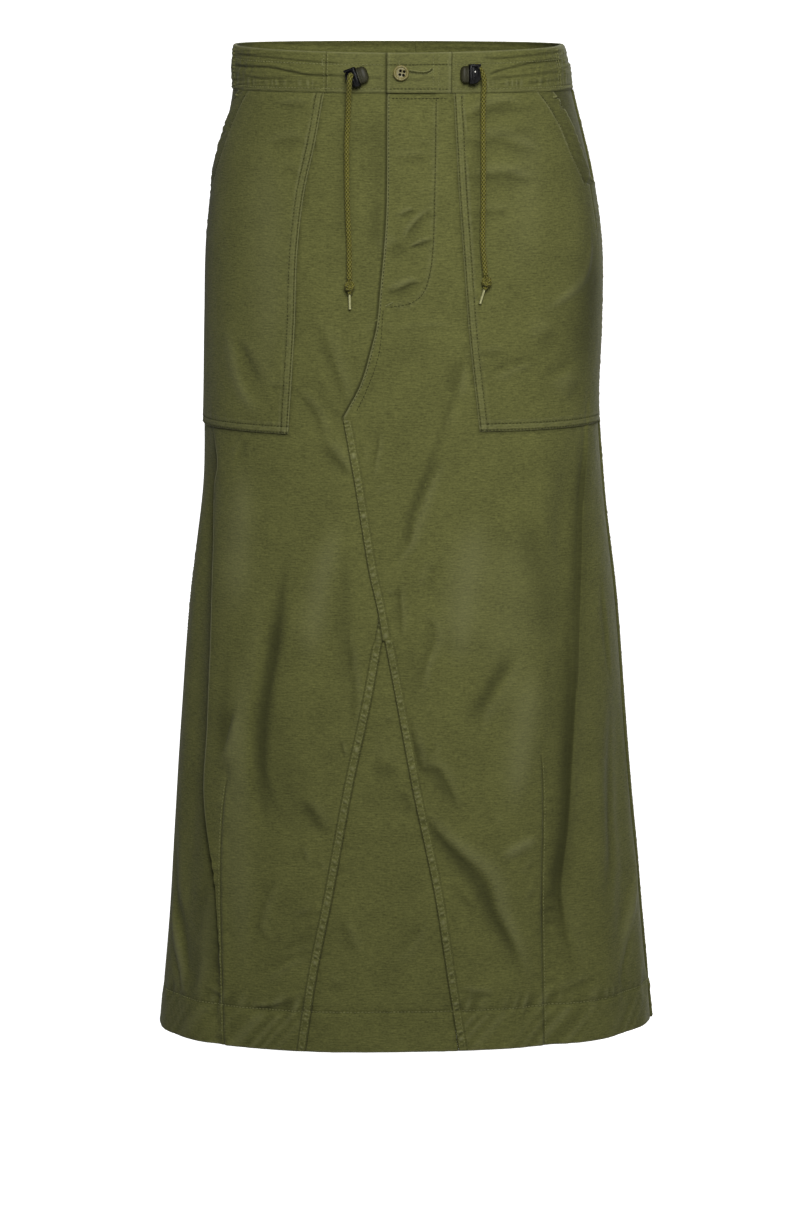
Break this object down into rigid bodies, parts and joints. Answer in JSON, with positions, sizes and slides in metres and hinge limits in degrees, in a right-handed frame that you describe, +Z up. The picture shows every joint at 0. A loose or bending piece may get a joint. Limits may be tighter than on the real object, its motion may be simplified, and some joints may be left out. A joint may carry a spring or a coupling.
{
  "type": "worn cargo skirt with drawcord waist",
  "caption": "Long straight-to-flared cotton cargo skirt, hollow as worn, with patch pockets, buttoned fly, centre godet and drawcords with cord locks at the waist.",
  "frame": {"origin": "centre of the waist opening, level with the waistband's top edge at the sides", "axes": "+Z up out of the waist, -Y towards the skirt's front, +X to the right as seen from the front"},
  "size_m": [0.4782, 0.3149, 0.9422],
  "materials": {
    "cloth": "olive cotton sateen, matt, with a faint cross slub",
    "cord": "round braided cotton cord, yellow olive",
    "button_resin": "beige resin, soft gloss",
    "lock_black": "black moulded nylon",
    "lock_olive": "olive-grey moulded nylon",
    "aglet_metal": "pale brass, brushed"
  },
  "bodies": {
    "root": {"front_left": "cloth", "front_right": "cloth", "godet": "cloth", "pocket_left": "cloth", "pocket_right": "cloth", "back_left": "cloth", "back_right": "cloth", "band_front_left": "cloth", "band_front_right": "cloth", "band_side_left": "cloth", "band_side_right": "cloth", "band_back_left": "cloth", "band_back_right": "cloth", "button": "button_resin", "lock_body_left": "lock_black", "lock_body_right": "lock_black", "lock_plunger_left": "lock_olive", "lock_plunger_right": "lock_olive", "cord_left": "cord", "cord_right": "cord", "knot_left": "cord", "knot_right": "cord", "aglet_left": "aglet_metal", "aglet_right": "aglet_metal"}
  },
  "joints": []
}
